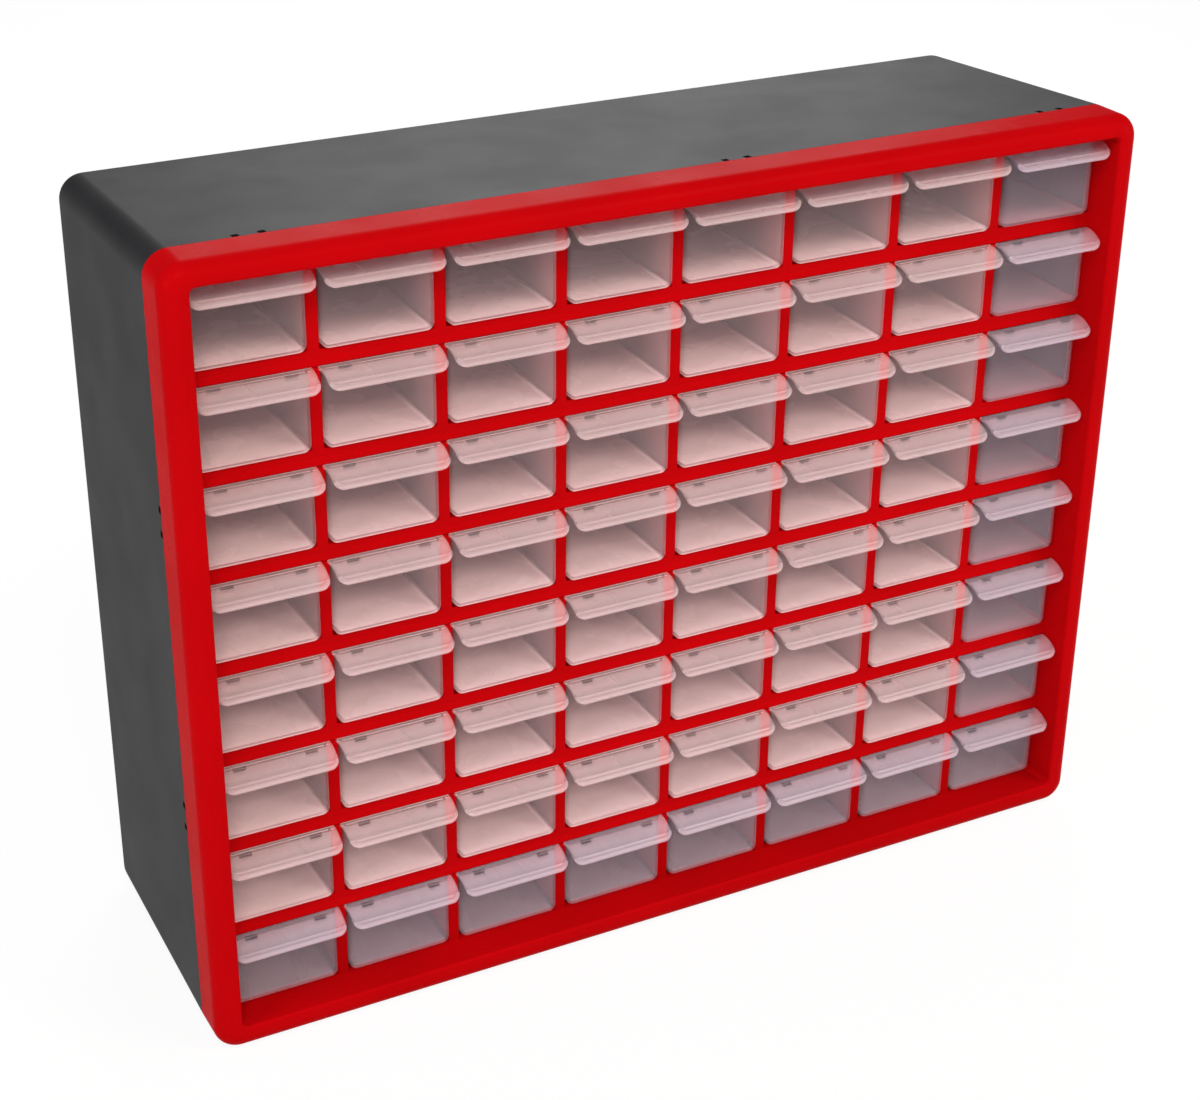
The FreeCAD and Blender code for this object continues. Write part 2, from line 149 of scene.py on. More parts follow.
class CabinetCaseSettings(bpy.types.PropertyGroup):
    """Sizes and colour of the black case."""

    wall: length("Wall", "Thickness of the case's moulded wall", 2.5)
    corner: length("Corner", "Radius of the four long edges", 12)
    rear_round: length("Rear Round", "Radius of the edges round the back", 8)
    side_lean: length("Side Lean", "How far each side leans inward at the back", 4)
    top_lean: length("Top Lean", "How far the top falls towards the back", 7.5)
    rim_bevel: length("Rim Bevel", "Softening of the edges at the mouth", 0.5)
    latch_tab: length("Latch Tab", "Width of a snap latch's tab", 8.6)
    latch_slot: length("Latch Slot", "Width of the cut beside a tab", 3.4)
    latch_depth: length("Latch Depth", "Length of the cut beside a tab", 3.6)
    hook_rise: length("Hook Rise", "Height of the hook inside a tab", 1.2)
    keyhole_spacing: length("Keyhole Spacing", "Distance between the two keyholes", 406.4)
    keyhole_drop: length("Keyhole Drop", "From the top of the cabinet to the keyholes", 57)
    keyhole_radius: length("Keyhole Radius", "Radius of a keyhole's entry", 4.5)
    keyhole_slot: length("Keyhole Slot", "Width of a keyhole's slot", 5)
    keyhole_rise: length("Keyhole Rise", "Length of a keyhole's slot", 9)
    runner: length("Runner", "Thickness of a floor runner", 2)
    runner_spread: length("Runner Spread", "Distance between the two runners of a column", 32)
    runner_front: length("Runner Front", "From the joint back to the runners", 9)
    colour: tone("Colour", "sRGB colour of the black plastic", "#181718")
    worn_colour: tone("Dusty Colour", "sRGB colour where the surface is dull and dusty", "#1E1D1E")
    shine: share("Shine", "Strength of the surface's reflection", 0.11)


class CabinetFrontSettings(bpy.types.PropertyGroup):
    """Sizes and colour of the red moulding: the front frame and the grid of cells."""

    border_side: length("Side Border", "Width of the border at each side", 12.5)
    border_top: length("Top Border", "Height of the border at the top", 10.5)
    border_bottom: length("Bottom Border", "Height of the border at the bottom", 13)
    corner: length("Corner", "Radius of the frame's outer corners", 12)
    edge_round: length("Edge Round", "Radius of the outer front edge", 8.6)
    inner_round: length("Inner Round", "Radius of the edge round the opening", 1.5)
    opening_corner: length("Opening Corner", "Radius of the opening's corners", 3)
    wall: length("Wall", "Thickness of the frame's moulded wall", 2)
    tongue_inset: length("Tongue Inset", "From the outside in to the tongue", 3.3)
    tongue_root: length("Tongue Root", "Length of the tongue's root inside the border", 6)
    tongue_depth: length("Tongue Depth", "Reach of the tongue into the case", 8)
    rim_depth: length("Rim Depth", "From the front plane back to the lattice", 19)
    lattice: length("Lattice", "Thickness of the lattice in front of the cells", 3)
    lintel: length("Lintel", "Height of the bars across", 7.06)
    upright: length("Upright", "Width of the upright bars", 5.8)
    sheet: length("Sheet", "Thickness of the shelves and dividers", 2)
    sill: length("Sill", "Rise of the cells over the opening's bottom edge", 1.2)
    ledge_height: length("Ledge Height", "Height of the sloped lower part of a bar", 3.6)
    ledge_reach: length("Ledge Reach", "How far that slope comes forward", 1.1)
    edge_bevel: length("Edge Bevel", "Softening of the windows' front edges", 0.6)
    colour: tone("Colour", "sRGB colour of the red plastic", "#AC0409")
    deep_colour: tone("Deep Colour", "sRGB colour of the darker clouds in it", "#A40408")
    shine: share("Shine", "Strength of the surface's reflection", 0.004)


class CabinetDrawerSettings(bpy.types.PropertyGroup):
    """Sizes and colour of the clear drawers."""

    wall: length("Wall", "Thickness of the drawer's sides, back and floor", 1.3)
    front_wall: length("Front Wall", "Thickness of the drawer's front", 1.6)
    front_depth: length("Front Depth", "From the front plane back to the drawers", 16.5)
    under_gap: length("Under Gap", "Clearance under a drawer", 0.3)
    corner: length("Corner", "Radius of the long edges underneath", 4)
    edge_round: length("Edge Round", "Radius of the front's outer edges", 2.2)
    overhang: length("Overhang", "How far the pull's root passes each side of the tray", 2)
    tip_overhang: length("Tip Overhang", "The same at the pull's tip", 0.4)
    forward: length("Forward", "Reach of the pull in front of the tray", 12.6)
    drop: length("Drop", "Fall of the pull from its root to its tip", 6)
    root_gap: length("Root Gap", "Clearance between the pull's root and the lattice", 0.3)
    pull_corner: length("Pull Corner", "Radius of the pull's two tip corners", 4)
    pull_thickness: length("Pull Thickness", "Thickness of the curved lip", 1.5)
    bead: length("Bead", "Radius of the bead along the pull's tip", 1.6)
    hem: length("Hem", "Radius of the thinner bead along the pull's ends", 0.95)
    window_width: length("Window Width", "Width of the pull's two small windows", 6.5)
    window_length: length("Window Length", "The same windows from front to back", 3.2)
    window_setback: length("Window Setback", "From the tray's front to the windows", 0.5)
    window_share: bpy.props.FloatProperty(
        name="Window Share", description="Place of a window, as a share of the drawer's width", default=0.33)
    tab_width: length("Stop Tab Width", "Width of the stop tab at the back", 20)
    tab_rise: length("Stop Tab Rise", "Height of the stop tab over the drawer's edge", 1.8)
    # The pink in this colour is painted reflection: red light bounced from the cells, laid into the plastic.
    colour: tone("Colour", "sRGB colour of the clear plastic", "#FFE1E3")
    # Painted shade: a darker, cooler copy of the plastic's colour for the bottom row and the last column.
    shaded_colour: tone("Shaded Colour", "The same where the plastic is cleaner, and cooler", "#F4DEEC")
    cover: share("Cover", "How much one surface of the plastic hides what is straight behind it", 0.07)
    slant_cover: share(
        "Slant Cover", "The same at a grazing angle, where the light's way through is long", 0.12)
    pull_cover: share("Pull Cover", "The same on the pull, which is a little dusty", 0.23)
    bead_cover: share("Bead Cover", "The same along the pull's thick bead", 0.32)
    floor_cover: share("Floor Cover", "The same on the floor, which is scuffed by the parts", 0.88)
    # Painted shade: the floors of the bottom row and the last column scatter less light, so those drawers
    # look darker.
    shaded_floor_cover: share(
        "Shaded Floor Cover", "The same in the bottom row and the last column, which look cleaner", 0.20)
    glow: share("Glow", "Share of the scattered light that passes on through the plastic", 0.10)


class CabinetStageSettings(bpy.types.PropertyGroup):
    """Camera, lights and floor."""

    camera_place: bpy.props.FloatVectorProperty(
        name="Camera Place", description="Place of the photograph's camera", size=3, subtype="TRANSLATION",
        default=(-0.519807, -0.96563, 0.732427))
    camera_turn: bpy.props.FloatVectorProperty(
        name="Camera Turn", description="How the photograph's camera is turned", size=3, subtype="EULER",
        default=(math.radians(63.2315), math.radians(-0.5508), math.radians(-27.7971)))
    camera_lens: bpy.props.FloatProperty(
        name="Lens", description="Focal length over a sensor 36 mm wide", default=70.587)
    floor_size: bpy.props.FloatProperty(
        name="Floor Size", description="Side of the square floor, wide enough for low views", default=60,
        unit="LENGTH")
    floor_colour: tone("Floor Colour", "sRGB colour of the floor", "#F2F2F2")
    floor_glow: share("Floor Glow", "Share of plain white in the floor as the camera sees it", 0.9)
    world_colour: tone("Surround Colour", "sRGB colour of the even light all round", "#F4F6FF")
    world_level: bpy.props.FloatProperty(
        name="Surround", description="Brightness of the even light all round", default=0.35)
    key_power: power("Key Light", "Power of the warm light at the upper left", 39)
    fill_power: power("Fill Light", "Power of the warm light at the upper right", 21.5)
    left_power: power("Left Light", "Power of the cool light at the left", 20)
    key_colour: tone("Key Colour", "sRGB colour of the two upper lights", "#FFF6E8")
    right_power: power("Right Light", "Power of the cool light at the right", 8)
    side_colour: tone("Side Colour", "sRGB colour of the two side lights", "#F0F4FF")
    back_power: power("Back Light", "Power of the light over the back", 26)
    back_colour: tone("Back Colour", "sRGB colour of that light", "#FFFFFF")


def linear(colour):
    """Linear colour of an sRGB hex value."""
    channels = [int(colour[start:start + 2], 16) / 255 for start in (1, 3, 5)]
    return tuple(c / 12.92 if c <= 0.04045 else ((c + 0.055) / 1.055) ** 2.4 for c in channels) + (1.0,)


def add_node(tree, kind, sockets=None, **settings):
    """Add a node with its settings, give its sockets values or links, and return its outputs."""
    node = tree.nodes.new(kind)
    for name, value in settings.items():
        setattr(node, name, value)
    for socket, value in (sockets or {}).items():
        if isinstance(value, bpy.types.NodeSocket):
            tree.links.new(value, node.inputs[socket])
        else:
            node.inputs[socket].default_value = value
    return node.outputs


def new_material(name):
    """Empty node material and its tree."""
    material = bpy.data.materials.new(name)
    material.use_nodes = True
    material.node_tree.nodes.clear()
    return material, material.node_tree


def deselect_all():
    """Leave edit mode and deselect every object."""
    if bpy.context.mode != "OBJECT":
        bpy.ops.object.mode_set(mode="OBJECT")
    bpy.ops.object.select_all(action="DESELECT")


def make_active(piece):
    """Select one piece alone and make it active."""
    deselect_all()
    piece.select_set(True)
    bpy.context.view_layer.objects.active = piece


def settle(piece):
    """Bake place, turn and scale into the mesh."""
    make_active(piece)
    bpy.ops.object.transform_apply(location=True, rotation=True, scale=True)


def start_box(name, low, high):
    """A cube primitive stretched between two corners, as the start of a piece."""
    deselect_all()
    bpy.ops.mesh.primitive_cube_add(size=1)
    piece = bpy.context.object
    piece.name = name
    piece.location = (Vector(low) + Vector(high)) / 2
    piece.scale = Vector(high) - Vector(low)
    settle(piece)
    return piece


def flat_grid(name, across, up, depth):
    """Upright sheet that faces the front, with grid lines at the given places."""
    deselect_all()
    bpy.ops.mesh.primitive_grid_add(x_subdivisions=len(across) - 1, y_subdivisions=len(up) - 1, size=1)
    piece = bpy.context.object
    piece.name = name
    for vertex in piece.data.vertices:
        column = round((vertex.co.x + 0.5) * (len(across) - 1))
        row = round((vertex.co.y + 0.5) * (len(up) - 1))
        vertex.co = (across[column], depth, up[row])
    return piece


def pick(piece, kind, wanted):
    """Enter edit mode with only those elements selected whose vertex places pass the test."""
    make_active(piece)
    bpy.ops.object.mode_set(mode="EDIT")
    bpy.ops.mesh.select_mode(type=kind)
    bpy.ops.mesh.select_all(action="DESELECT")
    bpy.ops.object.mode_set(mode="OBJECT")
    mesh = piece.data
    if kind == "VERT":
        for vertex in mesh.vertices:
            vertex.select = wanted([vertex.co])
    else:
        for element in mesh.polygons if kind == "FACE" else mesh.edges:
            element.select = wanted([mesh.vertices[index].co for index in element.vertices])
    bpy.ops.object.mode_set(mode="EDIT")


def near(value, target):
    """True where a place is as good as at a target."""
    return abs(value - target) < NEAR


def bevel_picked(width, segments, affect="EDGES"):
    """Round the selected edges or corners."""
    bpy.ops.mesh.bevel(offset=width, offset_type="OFFSET", segments=segments, profile=0.5, affect=affect,
                       clamp_overlap=False)
    bpy.ops.object.mode_set(mode="OBJECT")


def delete_picked(kind):
    """Delete what is selected."""
    bpy.ops.mesh.delete(type=kind)
    bpy.ops.object.mode_set(mode="OBJECT")


def finish_with(piece, kind, **settings):
    """Add a modifier with its settings and apply it."""
    make_active(piece)
    modifier = piece.modifiers.new(kind.title(), kind)
    for name, value in settings.items():
        setattr(modifier, name, value)
    bpy.ops.object.modifier_apply(modifier=modifier.name)


def thicken(piece, wall, offset=-1):
    """Give a sheet a wall, as a rule towards its inner side."""
    finish_with(piece, "SOLIDIFY", thickness=wall, offset=offset, use_even_offset=True)


def soften(piece, width, segments):
    """Round every sharp edge of a piece."""
    finish_with(piece, "BEVEL", width=width, segments=segments, limit_method="ANGLE",
                angle_limit=SHARP_ANGLE)


def combine(piece, tool, operation):
    """Join a tool to a piece or cut it out, and delete the tool."""
    finish_with(piece, "BOOLEAN", object=tool, operation=operation, solver="EXACT")
    bpy.data.objects.remove(tool)


def join(pieces, name):
    """Make several meshes one object."""
    deselect_all()
    for piece in pieces:
        piece.select_set(True)
    bpy.context.view_layer.objects.active = pieces[0]
    bpy.ops.object.join()
    bpy.context.object.name = name
    return bpy.context.object


def smooth(piece, angle):
    """Smooth shading, with creases where faces meet at more than an angle, and flat large faces."""
    make_active(piece)
    bpy.ops.object.shade_smooth_by_angle(angle=angle)
    finish_with(piece, "WEIGHTED_NORMAL", keep_sharp=True)


def hand_over(piece, material, node, body):
    """Show a piece in its material, in the place of a node of the frame, and let it ride on a body."""
    piece.data.materials.clear()
    piece.data.materials.append(material)
    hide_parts(node)
    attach(piece, body)


def rounded_loop(name, low, high, radius, segments, depth):
    """Upright rectangle of one face with round corners, facing the front."""
    piece = flat_grid(name, (low[0], high[0]), (low[1], high[1]), depth)
    pick(piece, "VERT", lambda places: True)
    bevel_picked(radius, segments, "VERTICES")
    return piece


class CellPlan:
    """Places of the cells, worked out from the front's sizes."""

    def __init__(self, front):
        self.side = HALF_WIDTH - front.border_side
        self.bottom = front.border_bottom
        self.top = HEIGHT - front.border_top
        self.column_pitch = (2 * self.side + front.sheet) / COLUMNS
        self.row_pitch = (self.top - self.bottom + front.sheet) / ROWS
        self.floor = self.bottom + front.sill
        self.window = self.row_pitch - front.lintel
        self.lattice_front = FRONT + front.rim_depth
        self.lattice_back = self.lattice_front + front.lattice

    def centre(self, column):
        """Place across of a column's middle, counted from 1 at the left."""
        return (column - (COLUMNS + 1) / 2) * self.column_pitch

    def row_floor(self, row):
        """Height of a row's floor, counted from 1 at the top."""
        return self.floor + (ROWS - row) * self.row_pitch

    def row_ceiling(self, row):
        """Height of the top of a row's windows."""
        return self.row_floor(row) + self.window


def moulded_plastic(name, colours, shine, finish):
    """Opaque moulded plastic: its colour drifts, its gloss varies and its surface is a little uneven."""
    material, tree = new_material(name)
    place = add_node(tree, "ShaderNodeTexCoord")["Object"]
    noises = {}
    for pattern in ("cloud", "gloss", "relief"):
        size, detail = finish[pattern]
        noises[pattern] = add_node(tree, "ShaderNodeTexNoise", {
            "Vector": place, "Scale": 1 / size, "Detail": detail})["Fac"]
    drift = add_node(tree, "ShaderNodeMapRange", {"Value": noises["cloud"], **NOISE_MIDDLE})["Result"]
    first, second = (linear(colour) for colour in colours)
    colour = add_node(tree, "ShaderNodeMix", {
        "Factor": drift, MIX_FIRST: first, MIX_SECOND: second}, data_type="RGBA")[MIX_RESULT]
    smoothest, roughest = finish["roughness"]
    roughness = add_node(tree, "ShaderNodeMapRange", {
        "Value": noises["gloss"], **NOISE_MIDDLE, "To Min": smoothest, "To Max": roughest})["Result"]
    normal = add_node(tree, "ShaderNodeBump", {
        "Height": noises["relief"], "Strength": 1.0, "Distance": finish["height"]})["Normal"]
    shader = add_node(tree, "ShaderNodeBsdfPrincipled", {
        "Base Color": colour, "Roughness": roughness, "Normal": normal, "Specular IOR Level": shine})["BSDF"]
    add_node(tree, "ShaderNodeOutputMaterial", {"Surface": shader})
    return material


def case_plastic(case):
    """High-impact polystyrene, moulded with a fine satin grain: black, and a little dull with dust."""
    # The grain spreads every reflection, so a face turned to a light looks an even dark grey.
    return moulded_plastic("black_polystyrene_satin_grain", (case.colour, case.worn_colour), case.shine,
                           CASE_FINISH)


def front_plastic(front):
    """High-impact polystyrene, moulded in a polished tool: deep red, with a slight orange peel."""
    # The colour is saturated all through, and hardly any white light lies over it.
    return moulded_plastic(RED_PLASTIC, (front.colour, front.deep_colour), front.shine, FRONT_FINISH)


def scuffed_cover(tree, place, cover, drawer, floor_cover):
    """Raise a cover on level faces, where dust and scuffs gather, and along the thick pull bead; a low floor
    cover is painted shade.
    """
    normal = add_node(tree, "ShaderNodeNewGeometry")["Normal"]
    upward = add_node(tree, "ShaderNodeSeparateXYZ", {"Vector": normal})["Z"]
    upright = add_node(tree, "ShaderNodeMath", {NUMBER_FIRST: upward}, operation="ABSOLUTE")["Value"]
    level = add_node(tree, "ShaderNodeMapRange", {"Value": upright, **LEVEL_FACES})["Result"]
    depth = add_node(tree, "ShaderNodeSeparateXYZ", {"Vector": place})["Y"]
    front = FRONT + drawer.front_depth
    inside = add_node(tree, "ShaderNodeMath", {
        NUMBER_FIRST: depth, NUMBER_SECOND: front + drawer.front_wall}, operation="GREATER_THAN")["Value"]
    dust = add_node(tree, "ShaderNodeMapRange", {
        "Value": inside, "To Min": drawer.pull_cover, "To Max": floor_cover})["Result"]
    bead_back = front - drawer.forward + 2 * drawer.bead
    bead = add_node(tree, "ShaderNodeMapRange", {
        "Value": depth, "From Min": bead_back - drawer.bead / 4, "From Max": bead_back,
        "To Min": drawer.bead_cover, "To Max": 0})["Result"]
    dusty = add_node(tree, "ShaderNodeMath", {
        NUMBER_FIRST: level, NUMBER_SECOND: dust}, operation="MULTIPLY")["Value"]
    for more in (bead, dusty):
        cover = add_node(tree, "ShaderNodeMath", {
            NUMBER_FIRST: cover, NUMBER_SECOND: more}, operation="MAXIMUM")["Value"]
    return cover


def drawer_plastic(drawer, name, colour, floor_cover):
    """Natural polypropylene, thin moulded: cloudy, and clear enough to show the red of the cell."""
    # A thin wall lets most light straight through, and what it scatters gives the pale haze.
    material, tree = new_material(name)
    place = add_node(tree, "ShaderNodeTexCoord")["Object"]
    size, detail = DRAWER_FINISH["haze"]
    haze = add_node(tree, "ShaderNodeTexNoise", {
        "Vector": place, "Scale": 1 / size, "Detail": detail})["Fac"]
    smoothest, roughest = DRAWER_FINISH["roughness"]
    gloss = add_node(tree, "ShaderNodeMapRange", {
        "Value": haze, **NOISE_MIDDLE, "To Min": smoothest, "To Max": roughest})["Result"]
    waves = add_node(tree, "ShaderNodeBump", {
        "Height": haze, "Strength": 1.0, "Distance": DRAWER_FINISH["height"]})["Normal"]
    body = add_node(tree, "ShaderNodeBsdfPrincipled", {
        "Base Color": linear(colour), "Roughness": gloss, "Normal": waves})["BSDF"]
    glow = add_node(tree, "ShaderNodeBsdfTranslucent", {"Color": linear(colour), "Normal": waves})["BSDF"]
    cloudy = add_node(tree, "ShaderNodeMixShader", {
        "Fac": drawer.glow, SHADER_FIRST: body, SHADER_SECOND: glow})["Shader"]
    clear = add_node(tree, "ShaderNodeBsdfTransparent")["BSDF"]
    slant = add_node(tree, "ShaderNodeLayerWeight", {"Blend": 0.5})["Facing"]
    cover = add_node(tree, "ShaderNodeMapRange", {
        "Value": slant, **SLANTED_FACES, "To Min": drawer.cover, "To Max": drawer.slant_cover})["Result"]
    cover = scuffed_cover(tree, place, cover, drawer, floor_cover)
    skin = add_node(tree, "ShaderNodeMixShader", {
        "Fac": cover, SHADER_FIRST: clear, SHADER_SECOND: cloudy})["Shader"]
    add_node(tree, "ShaderNodeOutputMaterial", {"Surface": skin})
    return material


def case_shell(case):
    """Rounded, leaning box with a wall, open at the front."""
    shell = start_box("case_shell", (-HALF_WIDTH, JOINT, 0), (HALF_WIDTH, BACK, HEIGHT))
    pick(shell, "FACE", lambda places: all(near(p.y, BACK) for p in places))
    half_back = HALF_WIDTH - case.side_lean
    bpy.ops.transform.resize(value=(half_back / HALF_WIDTH, 1, (HEIGHT - case.top_lean) / HEIGHT),
                             center_override=(0, 0, 0))
    pick(shell, "EDGE", lambda places: abs(places[0].y - places[1].y) > case.wall)
    bevel_picked(case.corner, LARGE_FACETS)
    pick(shell, "EDGE", lambda places: all(near(p.y, BACK) for p in places))
    bevel_picked(case.rear_round, MIDDLE_FACETS)
    pick(shell, "FACE", lambda places: all(near(p.y, JOINT) for p in places))
    delete_picked("FACE")
    thicken(shell, case.wall)
    soften(shell, case.rim_bevel, FINE_FACETS)
    return shell


def side_box(side, along, half, inset, depth):
    """Box on one side of the case, between two distances in from that side and two back from the joint."""
    across, up = {
        "top": ((along - half, along + half), (HEIGHT - inset[1], HEIGHT - inset[0])),
        "bottom": ((along - half, along + half), inset),
        "left": ((inset[0] - HALF_WIDTH, inset[1] - HALF_WIDTH), (along - half, along + half)),
        "right": ((HALF_WIDTH - inset[1], HALF_WIDTH - inset[0]), (along - half, along + half)),
    }[side]
    return start_box("side_box", (across[0], JOINT + depth[0], up[0]), (across[1], JOINT + depth[1], up[1]))


def latch_places():
    """Side and place along it of each snap latch."""
    places = [(side, part * 2 * HALF_WIDTH) for part in TOP_LATCH_SHARES for side in ("top", "bottom")]
    return places + [(side, part * HEIGHT) for part in SIDE_LATCH_SHARES for side in ("left", "right")]


def case_cuts(case):
    """The cuts beside the latch tabs."""
    cuts = []
    for side, along in latch_places():
        for direction in (-1, 1):
            middle = along + direction * (case.latch_tab + case.latch_slot) / 2
            cuts.append(side_box(side, middle, case.latch_slot / 2, (-case.wall, 2 * case.wall),
                                 (-case.wall, case.latch_depth)))
    return join(cuts, "latch_cuts")


def case_ribs(case, plan):
    """The hooks inside the latch tabs and the floor runners under the bottom row."""
    ribs = []
    for side, along in latch_places():
        hook_inset = (case.wall / 2, case.wall + case.hook_rise)
        ribs.append(side_box(side, along, case.latch_tab / 2 - case.rim_bevel, hook_inset,
                             (case.hook_rise, case.latch_depth)))
    for column in range(1, COLUMNS + 1):
        for direction in (-1, 1):
            middle = plan.centre(column) + direction * case.runner_spread / 2
            ribs.append(start_box("runner",
                                  (middle - case.runner / 2, JOINT + case.runner_front, case.wall / 2),
                                  (middle + case.runner / 2, GRID_BOX[1].y, plan.floor)))
    return join(ribs, "ribs")


def cut_keyhole(shell, case, across):
    """Cut a round entry with a narrow slot above it through the back wall."""
    height = HEIGHT - case.keyhole_drop
    slot_top = height + case.keyhole_rise
    half_slot = case.keyhole_slot / 2
    for radius, place in ((case.keyhole_radius, height), (half_slot, slot_top)):
        deselect_all()
        bpy.ops.mesh.primitive_cylinder_add(vertices=HOLE_FACETS, radius=radius, depth=4 * case.wall)
        tool = bpy.context.object
        tool.rotation_euler = (math.pi / 2, 0, 0)
        tool.location = (across, BACK - case.wall / 2, place)
        settle(tool)
        combine(shell, tool, "DIFFERENCE")
    slot = start_box("slot", (across - half_slot, BACK - 2 * case.wall, height),
                     (across + half_slot, BACK + case.wall, slot_top))
    combine(shell, slot, "DIFFERENCE")


class PARTSCABINET_OT_case(bpy.types.Operator):
    """Model the black case with its keyholes, latch tabs and floor runners"""

    bl_idname = "partscabinet.case"
    bl_label = "Case"

    def execute(self, context):
        case = context.scene.cabinet_case
        shell = case_shell(case)
        combine(shell, case_cuts(case), "DIFFERENCE")
        combine(shell, case_ribs(case, CellPlan(context.scene.cabinet_front)), "UNION")
        cut_keyhole(shell, case, -case.keyhole_spacing / 2)
        cut_keyhole(shell, case, case.keyhole_spacing / 2)
        smooth(shell, CREASE_ANGLE)
        hand_over(shell, case_plastic(case), "case", "cabinet")
        return {"FINISHED"}


def frame_border(front, plan):
    """Border of the front frame as a bent sheet: face, skirt and rim round the opening."""
    outer = rounded_loop("front_frame_border", (-HALF_WIDTH, 0), (HALF_WIDTH, HEIGHT), front.corner,
                         LARGE_FACETS, FRONT)
    inner = rounded_loop("opening", (-plan.side, plan.bottom), (plan.side, plan.top), front.opening_corner,
                         LARGE_FACETS, FRONT)
    border = join([outer, inner], "front_frame_border")
    pick(border, "FACE", lambda places: True)
    delete_picked("ONLY_FACE")
    pick(border, "EDGE", lambda places: True)
    bpy.ops.mesh.bridge_edge_loops()
    bpy.ops.object.mode_set(mode="OBJECT")
    middle = front.border_top / 2

    def is_outer(place):
        return (abs(place.x) > HALF_WIDTH - middle or place.z < middle or place.z > HEIGHT - middle
                or (abs(place.x) > plan.side + front.sheet / 2))

    def along(places, outer_side):
        return all(near(p.y, FRONT) and is_outer(p) == outer_side for p in places)

    pick(border, "EDGE", lambda places: along(places, True))
    bpy.ops.mesh.extrude_region_move(TRANSFORM_OT_translate={"value": (0, JOINT - FRONT, 0)})
    pick(border, "EDGE", lambda places: along(places, False))
    bpy.ops.mesh.extrude_region_move(TRANSFORM_OT_translate={"value": (0, plan.lattice_back - FRONT, 0)})
    bpy.ops.mesh.select_all(action="SELECT")
    bpy.ops.mesh.normals_make_consistent(inside=False)
    pick(border, "EDGE", lambda places: along(places, True))
    bevel_picked(front.edge_round, LARGE_FACETS)
    pick(border, "EDGE", lambda places: along(places, False) and all(is_rim(p, front, plan) for p in places))
    bevel_picked(front.inner_round, SMALL_FACETS)
    thicken(border, front.wall)
    soften(border, front.edge_bevel / 2, FINE_FACETS)
    return border


def is_rim(place, front, plan):
    """True on the outline of the opening."""
    return (abs(place.x) < plan.side + front.sheet / 2 and plan.bottom - front.sheet / 2 < place.z
            and place.z < plan.top + front.sheet / 2)


def ring(front, name, inset, wall, start, end):
    """Band that follows the outline of the frame, further in."""
    piece = rounded_loop(name, (inset - HALF_WIDTH, inset), (HALF_WIDTH - inset, HEIGHT - inset),
                         front.corner - inset, MIDDLE_FACETS, start)
    pick(piece, "FACE", lambda places: True)
    delete_picked("ONLY_FACE")
    pick(piece, "EDGE", lambda places: True)
    bpy.ops.mesh.extrude_region_move(TRANSFORM_OT_translate={"value": (0, end - start, 0)})
    bpy.ops.mesh.select_all(action="SELECT")
    bpy.ops.mesh.normals_make_consistent(inside=False)
    bpy.ops.object.mode_set(mode="OBJECT")
    thicken(piece, wall)
    return piece


class PARTSCABINET_OT_front(bpy.types.Operator):
    """Model the red front frame round the opening"""

    bl_idname = "partscabinet.front"
    bl_label = "Front Frame"

    def execute(self, context):
        front = context.scene.cabinet_front
        border = frame_border(front, CellPlan(front))
        skirt_inside = front.wall * SKIRT_SHARE
        root = ring(front, "tongue_root", skirt_inside, front.tongue_inset + front.wall - skirt_inside,
                    JOINT - front.tongue_root, JOINT - front.edge_bevel)
        tongue = ring(front, "tongue", front.tongue_inset, front.wall, JOINT - front.tongue_root / 2,
                      JOINT + front.tongue_depth)
        border = join([border, root, tongue], "front_frame_border")
        smooth(border, CREASE_ANGLE)
        hand_over(border, front_plastic(front), "front_frame", "cabinet")
        return {"FINISHED"}


def lattice_plate(front, plan):
    """Plate of bars in front of the cells. The outermost windows reach the rim of the frame."""
    half = (plan.column_pitch - front.upright) / 2
    edge = front.wall / 2
    across = [-plan.side - edge]
    for column in range(1, COLUMNS):
        across.extend((plan.centre(column) + half, plan.centre(column + 1) - half))
    across.append(plan.side + edge)
    up = [plan.bottom - edge, plan.row_ceiling(ROWS)]
    for row in range(ROWS - 1, 0, -1):
        up.extend((plan.row_floor(row), plan.row_ceiling(row)))
    up.append(plan.top + edge)
    plate = flat_grid("drawer_lattice", across, up, plan.lattice_front)
    lefts, lows = across[::2], up[:-1:2]

    def is_window(places):
        left, low = min(p.x for p in places), min(p.z for p in places)
        return any(near(left, place) for place in lefts) and any(near(low, place) for place in lows)

    pick(plate, "FACE", is_window)
    delete_picked("FACE")
    thicken(plate, front.lattice)
    soften(plate, front.edge_bevel, BAR_FACETS)
    return plate


def ledge(front, plan, row):
    """Strip along the lower part of the bar over a row, which slopes forward and runs from side to side."""
    face = plan.lattice_front - front.ledge_reach
    low, top = plan.row_ceiling(row), plan.row_ceiling(row) + front.ledge_height
    strip = start_box("ledge", (-plan.side, face, low),
                      (plan.side, plan.lattice_front + front.lattice / 2, top))
    pick(strip, "EDGE", lambda places: all(near(p.y, face) and near(p.z, top) for p in places))
    bpy.ops.transform.translate(value=(0, front.ledge_reach, 0))
    bpy.ops.object.mode_set(mode="OBJECT")
    soften(strip, front.edge_bevel / 2, FINE_FACETS)
    return strip


def cell_sheets(front, plan):
    """The shelves and dividers behind the lattice, which run into it and into each other."""
    start = plan.lattice_back - front.lattice / 2
    sheets = []
    for row in range(1, ROWS):
        floor = plan.row_floor(row)
        sheets.append(start_box("shelf", (GRID_BOX[0].x, start, floor - front.sheet),
                                (GRID_BOX[1].x, GRID_BOX[1].y, floor)))
    for column in range(1, COLUMNS):
        middle = plan.centre(column) + plan.column_pitch / 2
        sheets.append(start_box("divider", (middle - front.sheet / 2, start, plan.bottom),
                                (middle + front.sheet / 2, GRID_BOX[1].y - front.edge_bevel, GRID_BOX[1].z)))
    return sheets


